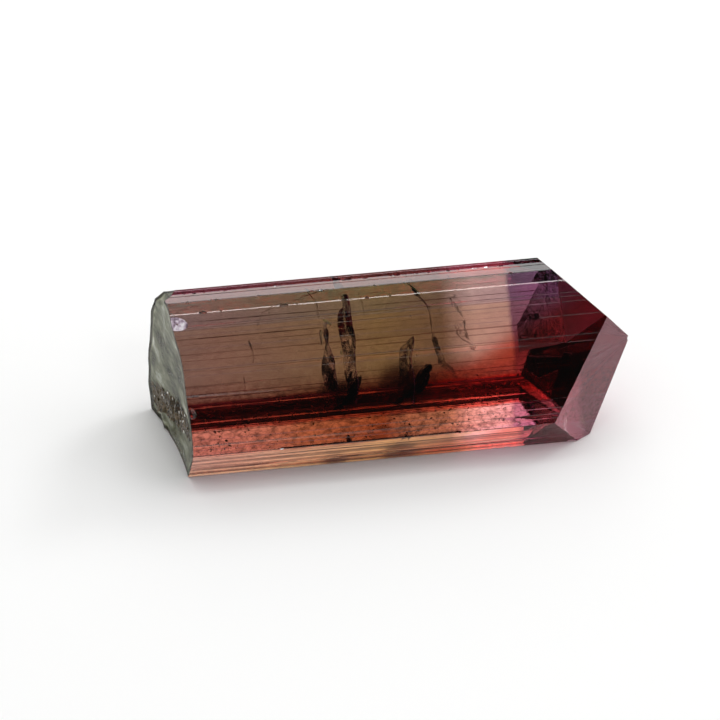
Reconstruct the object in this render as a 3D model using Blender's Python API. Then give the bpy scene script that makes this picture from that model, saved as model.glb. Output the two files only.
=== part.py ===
"""A crystal of watermelon tourmaline, lying on one of its broad prism faces.

It is one solid. A striated prism runs along X. At its +X end three sloping faces meet
in a point with a growth step behind it. At its -X end it is broken off in a
shell-shaped fracture. Thin partings cross the prism from its main face.
"""
import math
import random

import bmesh
import bpy
from mathutils import Matrix, Vector, noise

# The crystal is worked in millimetres, and its objects are scaled to metres.
MM = 0.001

# Prism. Each side has the angle of its outward normal, turned from -Y up towards +Z,
# and its width. The walk starts at the front edge of the base and goes up the front.
# The upright back side and the base take what closes the outline.
SIDES = [
    ("lower bevel", -30.0, 2.20),
    ("main face", 30.0, 7.82),
    ("upper bevel", 44.0, 0.68),
    ("top face", 90.0, 0.88),
    ("top edge", 100.0, 0.80),
    ("back top", 120.0, 3.70),
    ("back slope", 150.0, 1.98),
    ("back side", 180.0, None),
    ("back bevel", 210.0, 2.78),
    ("base", 270.0, None),
]

# The pointed end. Places on the crystal are given along X from the break, up the slope
# of the main face and inward from it. Each sloping face passes the point, and has the
# turn of its normal about X, measured as for the sides, and its lean away from X.
SLOPE = math.radians(30.0)
POINT = {"along": 25.12, "up": 5.48, "inward": 1.98}
POINT_FACES = {
    "upper": (111.0, 45.2),
    "front": (2.0, 52.7),
    "lower": (240.0, 41.0),
}

# A growth step takes the rear of the point back to a steeper face, which is given by a
# place on it and by its lean away from X. The step's floor rises towards the point.
STEP_LEAN = math.radians(46.0)
STEP_FACE = {"along": 20.5, "inward": 7.6}
STEP_FLOOR = {"along": 19.3, "up": 5.15, "rise": 0.12}
STEP_REACH = {"near": 1.0, "far": 10.0, "top": 12.0, "end": 28.0}

# Lengthwise striae: low steps across the sides, all cut inwards, to depths that are
# shares of the full one. The base is nearly plain. Corners are blunted by a narrow flat.
STRIA_SPACING = 0.31
STRIA_DEPTH = 0.020
STRIA_RISER = 0.032
STRIA_WANDER = 0.32
SIDE_LEVELS = [0.0, 1.0, 0.35, 0.8, 0.0, 0.6, 0.15, 1.0]
BASE_LEVELS = [0.0, 0.0, 0.0, 0.0, 0.0, 0.0, 0.0, 1.0]
EDGE_BREAK = 0.055
SEED = 7

# The raw prism starts beyond the break. WELD joins its caps to its sides.
PRISM_START = -3.0
WELD = 0.0005

# Growth ledges on the main face: long shallow troughs that fade out at one end.
# Each has the height of its middle, its deep end, its faded end, width and depth.
# Its floor rises past the face by a share of the depth at the faded end.
LEDGES = [
    (5.35, 21.3, 17.6, 0.30, 0.030),
    (6.15, 20.6, 14.8, 0.22, 0.025),
    (7.05, 19.8, 16.9, 0.34, 0.035),
    (8.45, 18.7, 12.6, 0.16, 0.022),
    (4.25, 13.2, 17.5, 0.20, 0.024),
    (7.60, 2.6, 7.4, 0.18, 0.022),
    (3.10, 1.2, 5.8, 0.16, 0.020),
]
LEDGE_FADE = 0.15
LEDGE_CUTTER_HEIGHT = 0.20

# The break: dished scars that meet in sharp ridges. Each has its deepest point and the
# radius of its dish. Ripples spread from where the break began.
SCARS = [
    {"along": -0.03, "up": 2.61, "inward": 0.66, "radius": 33.5},
    {"along": -0.47, "up": 8.29, "inward": 4.44, "radius": 17.9},
    {"along": -0.82, "up": 6.71, "inward": 7.08, "radius": 7.9},
    {"along": -0.26, "up": 6.30, "inward": 0.90, "radius": 5.5},
]
BREAK_START = {"up": 10.2, "inward": 1.2}
RIPPLE_DEPTH = 0.038
RIPPLE_LENGTH = 0.80
BREAK_CELL = 0.19
BREAK_MARGIN = 1.0

# A patch of the break is rough and grainy. The grain fades in over its outer half.
ROUGH_PATCH = {"up": 3.4, "inward": 4.9, "half_up": 1.3, "half_inward": 3.6}
ROUGH_DEPTH = 0.16
ROUGH_GRAIN = 0.45
ROUGH_SINK = 0.4
ROUGH_FADE = 0.5

# Chips flaked off edges: place, half sizes (along, up, inward) and turn about the
# main face's normal, in degrees.
CHIPS = [
    ((-0.35, 8.42, -0.06), (0.72, 0.40, 0.20), -12.0),
    ((0.06, 3.48, -0.02), (0.27, 0.36, 0.17), 20.0),
    ((-1.99, 11.05, 3.20), (2.30, 2.17, 4.60), 0.0),
    ((19.60, 10.10, 1.16), (0.34, 0.11, 0.12), 0.0),
    ((9.60, 10.10, 1.15), (0.28, 0.10, 0.11), 0.0),
    ((25.12, 5.40, 1.95), (0.16, 0.20, 0.16), 30.0),
    ((21.35, 0.04, 1.86), (0.30, 0.14, 0.18), 0.0),
]

# Partings: thin wavy cracks across the prism, open at the main face. Each has its place
# along, its lowest and highest point at the face, and its depth. It narrows inwards.
PARTINGS = [
    (8.05, 3.9, 7.9, 3.4),
    (9.35, 3.2, 9.2, 6.4),
    (12.50, 2.8, 6.6, 5.6),
]
PARTING_GAP = 0.03
PARTING_WAVE = 0.45
PARTING_WAVE_SCALE = 0.55
PARTING_NARROWING = 0.45
PARTING_ROWS = 10


def new_collection(name):
    collection = bpy.data.collections.new(name)
    bpy.context.scene.collection.children.link(collection)
    return collection


def side_normal(angle):
    """Outward normal, in the section's (y, z)."""
    return Vector((-math.cos(angle), math.sin(angle)))


def side_walk(angle):
    """Direction in which the outline is walked along a side, in the section's (y, z)."""
    return Vector((math.sin(angle), math.cos(angle)))


def closed_sides():
    """The sides as (name, angle, width), with the two open widths worked out."""
    gap = Vector((0.0, 0.0))
    for _, degrees, width in SIDES:
        if width is not None:
            gap -= side_walk(math.radians(degrees)) * width
    sides = []
    for name, degrees, width in SIDES:
        angle = math.radians(degrees)
        if width is None:
            width = gap.dot(side_walk(angle))
        sides.append((name, angle, width))
    return sides


def stria_steps(name, width, rng):
    """Points across a side, as (distance along it, depth below it)."""
    levels = BASE_LEVELS if name == "base" else SIDE_LEVELS
    count = max(1, round(width / STRIA_SPACING))
    steps = []
    depth = 0.0
    for index in range(1, count):
        place = (index + rng.uniform(-STRIA_WANDER, STRIA_WANDER)) * width / count
        new_depth = STRIA_DEPTH * rng.choice(levels)
        if index == count - 1:
            new_depth = 0.0
        if new_depth == depth:
            continue
        steps.append((place, depth))
        steps.append((place + STRIA_RISER, new_depth))
        depth = new_depth
    return steps


def prism_outline():
    """Points of the section in (y, z), with each corner blunted."""
    rng = random.Random(SEED)
    corner = Vector((0.0, 0.0))
    outline = []
    for name, angle, width in closed_sides():
        outline.append(corner + side_walk(angle) * EDGE_BREAK / 2)
        for distance, depth in stria_steps(name, width, rng):
            outline.append(corner + side_walk(angle) * distance - side_normal(angle) * depth)
        corner += side_walk(angle) * width
        outline.append(corner - side_walk(angle) * EDGE_BREAK / 2)
    return outline


def main_face_origin():
    """Where the main face's plane meets the height of the base's front edge, in (y, z)."""
    _, angle, width = closed_sides()[0]
    foot = side_walk(angle) * width
    return foot - side_walk(SLOPE) * foot.dot(side_walk(SLOPE))


def on_crystal(along, up, inward):
    """A point given along the crystal, up the main face's slope and inward from it."""
    section = main_face_origin() + side_walk(SLOPE) * up - side_normal(SLOPE) * inward
    return Vector((along, section.x, section.y))


def up_and_inward(y, z):
    """The same two distances for a point of the section."""
    from_origin = Vector((y, z)) - main_face_origin()
    return from_origin.dot(side_walk(SLOPE)), -from_origin.dot(side_normal(SLOPE))


def make_prism(name, start, length):
    """The flat outline, extruded along X from start."""
    curve = bpy.data.curves.new(name, "CURVE")
    curve.dimensions = "2D"
    curve.fill_mode = "BOTH"
    curve.extrude = length / 2
    outline = prism_outline()
    spline = curve.splines.new("POLY")
    spline.points.add(len(outline) - 1)
    for point, corner in zip(spline.points, outline):
        point.co = (corner.x, corner.y, 0.0, 1.0)
    spline.use_cyclic_u = True
    holder = bpy.data.objects.new(name + "_outline", curve)
    bpy.context.scene.collection.objects.link(holder)
    evaluated = holder.evaluated_get(bpy.context.evaluated_depsgraph_get())
    mesh = bpy.data.meshes.new_from_object(evaluated)
    bpy.data.objects.remove(holder)
    # The outline's own axes become Y and Z, and its thickness lies along X.
    stand = Matrix(((0, 0, 1, start + length / 2), (1, 0, 0, 0), (0, 1, 0, 0), (0, 0, 0, 1)))
    mesh.transform(stand)
    mesh.name = name
    return bpy.data.objects.new(name, mesh)


def cut_point(prism):
    """Cuts the sloping faces that meet in the crystal's point."""
    point = on_crystal(POINT["along"], POINT["up"], POINT["inward"])
    shape = bmesh.new()
    shape.from_mesh(prism.data)
    bmesh.ops.remove_doubles(shape, verts=shape.verts, dist=WELD)
    for turn, lean in POINT_FACES.values():
        across = side_normal(math.radians(turn)) * math.sin(math.radians(lean))
        normal = Vector((math.cos(math.radians(lean)), across.x, across.y))
        everything = shape.verts[:] + shape.edges[:] + shape.faces[:]
        cut = bmesh.ops.bisect_plane(
            shape, geom=everything, plane_co=point, plane_no=normal, clear_outer=True
        )
        rim = [item for item in cut["geom_cut"] if isinstance(item, bmesh.types.BMEdge)]
        bmesh.ops.holes_fill(shape, edges=rim, sides=0)
    bmesh.ops.triangulate(shape, faces=shape.faces)
    bmesh.ops.recalc_face_normals(shape, faces=shape.faces)
    shape.to_mesh(prism.data)
    shape.free()


def make_step_cutter(name):
    """A block whose slanting side is the steeper face and whose underside is the floor."""
    bpy.ops.mesh.primitive_cube_add(size=2.0)
    cutter = bpy.context.object
    cutter.name = name
    for vert in cutter.data.vertices:
        inward = STEP_REACH["far"] if vert.co.y > 0 else STEP_REACH["near"]
        along = STEP_FACE["along"] - (inward - STEP_FACE["inward"]) * math.tan(STEP_LEAN)
        if vert.co.x > 0:
            along = STEP_REACH["end"]
        up = STEP_REACH["top"]
        if vert.co.z < 0:
            up = STEP_FLOOR["up"] + STEP_FLOOR["rise"] * (along - STEP_FLOOR["along"])
        vert.co = on_crystal(along, up, inward)
    shape = bmesh.new()
    shape.from_mesh(cutter.data)
    bmesh.ops.triangulate(shape, faces=shape.faces)
    bmesh.ops.recalc_face_normals(shape, faces=shape.faces)
    shape.to_mesh(cutter.data)
    shape.free()
    return cutter


def rough_grain(up, inward):
    """How far the grainy patch stands out from the break."""
    off_centre = math.hypot(
        (up - ROUGH_PATCH["up"]) / ROUGH_PATCH["half_up"],
        (inward - ROUGH_PATCH["inward"]) / ROUGH_PATCH["half_inward"],
    )
    strength = min(1.0, max(0.0, 1.0 - off_centre) / ROUGH_FADE)
    grain = noise.cell(Vector((up, inward, 0.0)) / ROUGH_GRAIN)
    return ROUGH_DEPTH * strength * (grain - ROUGH_SINK)


def break_surface(y, z):
    """How far along X the break lies at a place of the section."""
    up, inward = up_and_inward(y, z)
    surface = max(
        scar["along"] - ((up - scar["up"]) ** 2 + (inward - scar["inward"]) ** 2) / (2 * scar["radius"])
        for scar in SCARS
    )
    spread = math.hypot(up - BREAK_START["up"], inward - BREAK_START["inward"])
    surface += RIPPLE_DEPTH * math.sin(math.tau * math.sqrt(spread / RIPPLE_LENGTH))
    return surface + rough_grain(up, inward)


def make_break_cutter(name, prism):
    """A block that ends in the break's surface, and takes away all beyond it."""
    corners = [Vector(corner) for corner in prism.bound_box]
    low_y = min(c.y for c in corners) - BREAK_MARGIN
    high_y = max(c.y for c in corners) + BREAK_MARGIN
    low_z = min(c.z for c in corners) - BREAK_MARGIN
    high_z = max(c.z for c in corners) + BREAK_MARGIN
    bpy.ops.mesh.primitive_grid_add(
        x_subdivisions=round((high_y - low_y) / BREAK_CELL),
        y_subdivisions=round((high_z - low_z) / BREAK_CELL),
        size=1.0,
    )
    cutter = bpy.context.object
    cutter.name = name
    shape = bmesh.new()
    shape.from_mesh(cutter.data)
    back = bmesh.ops.extrude_face_region(shape, geom=shape.faces[:])
    back_verts = {item for item in back["geom"] if isinstance(item, bmesh.types.BMVert)}
    far = min(c.x for c in corners) - BREAK_MARGIN
    for vert in shape.verts:
        y = low_y + (vert.co.x + 0.5) * (high_y - low_y)
        z = low_z + (vert.co.y + 0.5) * (high_z - low_z)
        x = far if vert in back_verts else break_surface(y, z)
        vert.co = (x, y, z)
    bmesh.ops.triangulate(shape, faces=shape.faces)
    bmesh.ops.recalc_face_normals(shape, faces=shape.faces)
    shape.to_mesh(cutter.data)
    shape.free()
    return cutter


def make_ledge_cutter(name, up, deep_end, faded_end, width, depth):
    """A long thin block, tipped so that it leaves the main face at its faded end."""
    length = faded_end - deep_end
    deep = on_crystal(deep_end, up, depth)
    faded = on_crystal(faded_end, up, -LEDGE_FADE * depth)
    run = (faded - deep).normalized()
    if length < 0:
        run.negate()
    rise = Vector((0.0, math.sin(SLOPE), math.cos(SLOPE)))
    out = run.cross(rise)
    if out.y > 0:
        out.negate()
    middle = (deep + faded) / 2 + out * LEDGE_CUTTER_HEIGHT / 2
    frame = Matrix((run, rise, out)).transposed().to_4x4()
    bpy.ops.mesh.primitive_cube_add(size=1.0)
    cutter = bpy.context.object
    cutter.name = name
    scale = Matrix.Diagonal((abs(length), width, LEDGE_CUTTER_HEIGHT, 1.0))
    cutter.data.transform(Matrix.Translation(middle) @ frame @ scale)
    return cutter


def make_chip_cutter(name, place, half_sizes, degrees):
    """A squashed ball, whose hollow is a small shell-shaped chip."""
    bpy.ops.mesh.primitive_ico_sphere_add(subdivisions=3, radius=1.0)
    cutter = bpy.context.object
    cutter.name = name
    run = Vector((1.0, 0.0, 0.0))
    rise = Vector((0.0, math.sin(SLOPE), math.cos(SLOPE)))
    out = Vector((0.0, -math.cos(SLOPE), math.sin(SLOPE)))
    frame = Matrix((run, rise, out)).transposed().to_4x4()
    turn = Matrix.Rotation(math.radians(degrees), 4, "Z")
    scale = Matrix.Diagonal((*half_sizes, 1.0))
    cutter.data.transform(Matrix.Translation(on_crystal(*place)) @ frame @ turn @ scale)
    return cutter


def make_parting_cutter(name, along, low, high, depth):
    """A thin wavy sheet that stands across the prism and sticks out of the main face."""
    bpy.ops.mesh.primitive_grid_add(x_subdivisions=PARTING_ROWS, y_subdivisions=PARTING_ROWS, size=1.0)
    cutter = bpy.context.object
    cutter.name = name
    shape = bmesh.new()
    shape.from_mesh(cutter.data)
    back = bmesh.ops.extrude_face_region(shape, geom=shape.faces[:])
    back_verts = {item for item in back["geom"] if isinstance(item, bmesh.types.BMVert)}
    for vert in shape.verts:
        reach = vert.co.y + 0.5
        inward = -BREAK_CELL + (depth + BREAK_CELL) * reach
        half_height = (high - low) * (1.0 - PARTING_NARROWING * reach * reach) / 2
        up = (low + high) / 2 + 2 * vert.co.x * half_height
        wave = noise.noise(Vector((along, up, inward)) * PARTING_WAVE_SCALE)
        place = along + PARTING_WAVE * wave
        place += PARTING_GAP / 2 if vert in back_verts else -PARTING_GAP / 2
        vert.co = on_crystal(place, up, inward)
    bmesh.ops.triangulate(shape, faces=shape.faces)
    bmesh.ops.recalc_face_normals(shape, faces=shape.faces)
    shape.to_mesh(cutter.data)
    shape.free()
    return cutter


def cut(target, cutter, collection):
    """Takes the cutter's shape out of the target, and files the cutter away."""
    for old_collection in cutter.users_collection:
        old_collection.objects.unlink(cutter)
    collection.objects.link(cutter)
    cutter.hide_render = True
    cutter.display_type = "WIRE"
    difference = target.modifiers.new(cutter.name, "BOOLEAN")
    difference.operation = "DIFFERENCE"
    difference.solver = "EXACT"
    difference.object = cutter


def centre_over_origin(objects, crystal):
    """Puts the finished crystal's box over the origin, resting on z = 0."""
    evaluated = crystal.evaluated_get(bpy.context.evaluated_depsgraph_get())
    corners = [Vector(corner) for corner in evaluated.bound_box]
    middle_x = (min(c.x for c in corners) + max(c.x for c in corners)) / 2
    middle_y = (min(c.y for c in corners) + max(c.y for c in corners)) / 2
    lowest = min(c.z for c in corners)
    shift = Matrix.Translation((-middle_x, -middle_y, -lowest))
    for item in objects:
        item.data.transform(shift)
        item.scale = (MM, MM, MM)


def crystal_material():
    """Glassy brown-mauve crystal, between its olive middle and its pink tip."""
    material = bpy.data.materials.new("tourmaline")
    material.use_nodes = True
    shader = material.node_tree.nodes["Principled BSDF"]
    shader.inputs["Base Color"].default_value = (0.30, 0.13, 0.10, 1.0)
    shader.inputs["Roughness"].default_value = 0.06
    shader.inputs["Metallic"].default_value = 0.0
    return material


for item in list(bpy.data.objects):
    bpy.data.objects.remove(item)

parts = new_collection("watermelon_tourmaline")
cutters = new_collection("cutters")

crystal = make_prism("tourmaline_crystal", PRISM_START, POINT["along"] - PRISM_START)
parts.objects.link(crystal)
cut_point(crystal)
cut(crystal, make_step_cutter("step_cutter"), cutters)
cut(crystal, make_break_cutter("break_cutter", crystal), cutters)
for number, ledge in enumerate(LEDGES):
    cut(crystal, make_ledge_cutter(f"ledge_cutter_{number}", *ledge), cutters)
for number, chip in enumerate(CHIPS):
    cut(crystal, make_chip_cutter(f"chip_cutter_{number}", *chip), cutters)
for number, parting in enumerate(PARTINGS):
    cut(crystal, make_parting_cutter(f"parting_cutter_{number}", *parting), cutters)
crystal.data.materials.append(crystal_material())
centre_over_origin([crystal, *cutters.objects], crystal)
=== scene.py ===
import math
import random

import bmesh
import bpy
from mathutils import Matrix, Vector, noise


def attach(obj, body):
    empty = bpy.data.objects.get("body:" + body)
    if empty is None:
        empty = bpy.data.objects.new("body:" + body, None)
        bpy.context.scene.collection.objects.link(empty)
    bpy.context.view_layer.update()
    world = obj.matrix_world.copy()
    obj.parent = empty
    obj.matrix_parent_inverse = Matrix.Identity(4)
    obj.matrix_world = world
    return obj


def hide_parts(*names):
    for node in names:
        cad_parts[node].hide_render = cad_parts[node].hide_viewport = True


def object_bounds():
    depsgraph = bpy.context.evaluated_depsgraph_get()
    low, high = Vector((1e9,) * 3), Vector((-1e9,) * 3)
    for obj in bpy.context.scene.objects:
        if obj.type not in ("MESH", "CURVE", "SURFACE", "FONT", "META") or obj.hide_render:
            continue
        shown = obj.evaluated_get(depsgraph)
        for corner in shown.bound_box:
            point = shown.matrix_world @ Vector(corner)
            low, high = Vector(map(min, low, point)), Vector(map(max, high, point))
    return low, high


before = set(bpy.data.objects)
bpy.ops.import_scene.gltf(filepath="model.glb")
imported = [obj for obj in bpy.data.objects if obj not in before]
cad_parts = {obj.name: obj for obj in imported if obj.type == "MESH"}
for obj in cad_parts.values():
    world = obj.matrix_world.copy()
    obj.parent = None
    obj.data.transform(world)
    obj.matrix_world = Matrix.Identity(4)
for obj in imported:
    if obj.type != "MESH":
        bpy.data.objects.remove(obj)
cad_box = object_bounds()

# --- The crystal -----------------------------------------------------------------------
# One prism of watermelon tourmaline, a hard clear boron silicate that grew from a hot
# fluid in a rock pocket. Its colour changed as it grew: brown-mauve where it broke off
# its bed, then olive and orange, and crimson at the pointed end that formed last.
MM = 0.001
CRYSTAL_IOR = 1.63
ABSORBED_COLOUR = (0.70, 0.28, 0.34, 1.0)
ABSORBED_DENSITY = 200.0
CRYSTAL_LEFT = -13.06
CRYSTAL_RIGHT = 13.14
RIM_ZONES = [
    (0.00, (0.38, 0.41, 0.28)),
    (0.10, (0.41, 0.40, 0.25)),
    (0.22, (0.38, 0.39, 0.21)),
    (0.45, (0.36, 0.38, 0.13)),
    (0.585, (0.28, 0.27, 0.12)),
    (0.655, (0.92, 0.98, 0.66)),
    (0.728, (0.88, 0.90, 0.64)),
    (0.738, (0.34, 0.25, 0.31)),
    (0.84, (0.52, 0.25, 0.42)),
    (0.90, (0.88, 0.18, 0.48)),
    (1.00, (0.80, 0.33, 0.52)),
]
CORE_ZONES = [
    (0.05, (0.50, 0.28, 0.16)),
    (0.135, (0.48, 0.26, 0.14)),
    (0.267, (0.31, 0.12, 0.030)),
    (0.444, (0.14, 0.022, 0.003)),
    (0.593, (0.50, 0.33, 0.14)),
    (0.683, (1.0, 0.90, 0.80)),
    (0.757, (1.0, 0.60, 0.80)),
    (0.85, (0.60, 0.20, 0.35)),
]
# tones of the dark seam: the crystal's red, darkened by painted shade
SEAM_SHADE_TONES = [
    (0.23, (1.0, 1.0, 1.0)),
    (0.28, (0.62, 0.13, 0.10)),
    (0.72, (0.58, 0.11, 0.08)),
    (0.82, (1.0, 1.0, 1.0)),
]
# duller skin along the lower edge, greener over the upper bevel, red on the top face
# and magenta along the very top
CREST_TONES = [
    (0.020, (0.55, 0.85, 0.70)),
    (0.040, (1.0, 1.0, 1.0)),
    (0.775, (1.0, 1.0, 1.0)),
    (0.785, (0.88, 0.96, 1.20)),
    (0.862, (0.88, 0.96, 1.20)),
    (0.866, (1.0, 1.0, 1.0)),
    (0.872, (0.50, 1.05, 1.10)),
    (0.925, (0.50, 1.05, 1.10)),
    (0.935, (1.10, 0.32, 0.42)),
    (0.968, (1.10, 0.32, 0.42)),
    (0.975, (1.35, 0.24, 1.25)),
]
CREST_TOP = 10.3
# place along, place up the main face, half length and half height of each, in mm
SMOKY_PATCHES = [(12.4, 4.1, 1.3, 1.4), (8.7, 3.8, 0.95, 1.0)]
DRIFT_SHIFT = 0.20
DRIFT_LIFT = 0.24
ZONE_LEAN = 0.60
UP_SLOPE = (0.0, 0.5, 0.866)
UP_OFFSET = 2.0142
INWARD_OFFSET = 5.395
PLACE_X = -12.0170
PLACE_Y = -5.6791
PLACE_Z = 0.953


def new_material(name):
    """A material, with its node tree and its shader."""
    material = bpy.data.materials.new(name)
    material.use_nodes = True
    return material, material.node_tree, material.node_tree.nodes["Principled BSDF"]


def feed(tree, socket, term):
    """Links a socket to another node's output, or sets it to plain numbers."""
    if isinstance(term, bpy.types.NodeSocket):
        tree.links.new(term, socket)
    else:
        socket.default_value = term


def object_place(tree):
    return tree.nodes.new("ShaderNodeTexCoord").outputs["Object"]


def mapped(tree, place, turn=(0.0, 0.0, 0.0), stretch=(1.0, 1.0, 1.0)):
    """A place turned or stretched."""
    mapping = tree.nodes.new("ShaderNodeMapping")
    mapping.inputs["Rotation"].default_value = turn
    feed(tree, mapping.inputs["Scale"], stretch)
    tree.links.new(place, mapping.inputs["Vector"])
    return mapping.outputs["Vector"]


def worked_out(tree, operation, *terms):
    """A sum, product or comparison of numbers."""
    sum_node = tree.nodes.new("ShaderNodeMath")
    sum_node.operation = operation
    for socket, term in zip(sum_node.inputs, terms):
        feed(tree, socket, term)
    return sum_node.outputs["Value"]


def worked_out_places(tree, operation, *terms):
    """A sum, product or length of places or colours."""
    sum_node = tree.nodes.new("ShaderNodeVectorMath")
    sum_node.operation = operation
    sockets = [sum_node.inputs[0], sum_node.inputs["Scale"]] if operation == "SCALE" else sum_node.inputs
    for socket, term in zip(sockets, terms):
        feed(tree, socket, term)
    return sum_node.outputs["Value" if operation in ("DOT_PRODUCT", "LENGTH") else "Vector"]


def ranged(tree, value, low, high, to_low=0.0, to_high=1.0, smooth=False):
    """A value brought from one range to another."""
    span = tree.nodes.new("ShaderNodeMapRange")
    if smooth:
        span.interpolation_type = "SMOOTHSTEP"
    for name, term in (("From Min", low), ("From Max", high), ("To Min", to_low), ("To Max", to_high)):
        feed(tree, span.inputs[name], term)
    tree.links.new(value, span.inputs["Value"])
    return span.outputs["Result"]


def clouds(tree, place, scale, detail=2.0, roughness=0.5, output="Fac"):
    """Uneven cloudy patches, as a value or as a colour."""
    texture = tree.nodes.new("ShaderNodeTexNoise")
    feed(tree, texture.inputs["Scale"], scale)
    texture.inputs["Detail"].default_value = detail
    texture.inputs["Roughness"].default_value = roughness
    tree.links.new(place, texture.inputs["Vector"])
    return texture.outputs[output]


def toned(tree, value, stops, blending="LINEAR"):
    """Colours along a range of values."""
    ramp = tree.nodes.new("ShaderNodeValToRGB")
    ramp.color_ramp.interpolation = blending
    elements = ramp.color_ramp.elements
    while len(elements) > 1:
        elements.remove(elements[0])
    elements[0].position = stops[0][0]
    elements[0].color = (*stops[0][1], 1.0)
    for position, colour in stops[1:]:
        elements.new(position).color = (*colour, 1.0)
    tree.links.new(value, ramp.inputs["Fac"])
    return ramp.outputs["Color"]


def mixed(tree, share, first, second, blending="MIX"):
    """One colour mixed with, or tinted by, another."""
    mix = tree.nodes.new("ShaderNodeMix")
    mix.data_type = "RGBA"
    mix.blend_type = blending
    for index, term in ((0, share), (6, first), (7, second)):
        feed(tree, mix.inputs[index], term)
    return mix.outputs[2]


def mixed_value(tree, share, first, second):
    """One number mixed with another."""
    mix = tree.nodes.new("ShaderNodeMix")
    mix.data_type = "FLOAT"
    for index, term in ((0, share), (2, first), (3, second)):
        feed(tree, mix.inputs[index], term)
    return mix.outputs[0]


def face_wear_and_shade(tree):
    wear = tree.nodes.new("ShaderNodeAttribute")
    wear.attribute_name = "wear_and_shade"
    return wear.outputs["Fac"]


def in_crystal(along, up, inward):
    """A place given along the crystal, up the slope of its main face and inward, in mm."""
    return Vector((
        along + PLACE_X,
        PLACE_Y + 0.5 * up + 0.866 * inward,
        PLACE_Z + 0.866 * up - 0.5 * inward,
    )) * MM


def up_inward(place):
    """How far a place lies up the slope of the main face, and inward from it, in mm."""
    up = (0.5 * place.y + 0.866 * place.z) / MM + UP_OFFSET
    inward = (0.866 * place.y - 0.5 * place.z) / MM + INWARD_OFFSET
    return up, inward


def drifted_up(up):
    """A height up the main face as the drifting zones see it, in metres."""
    return (up - UP_OFFSET + DRIFT_LIFT) * MM


def place_along(along):
    return (along + PLACE_X) * MM


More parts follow.
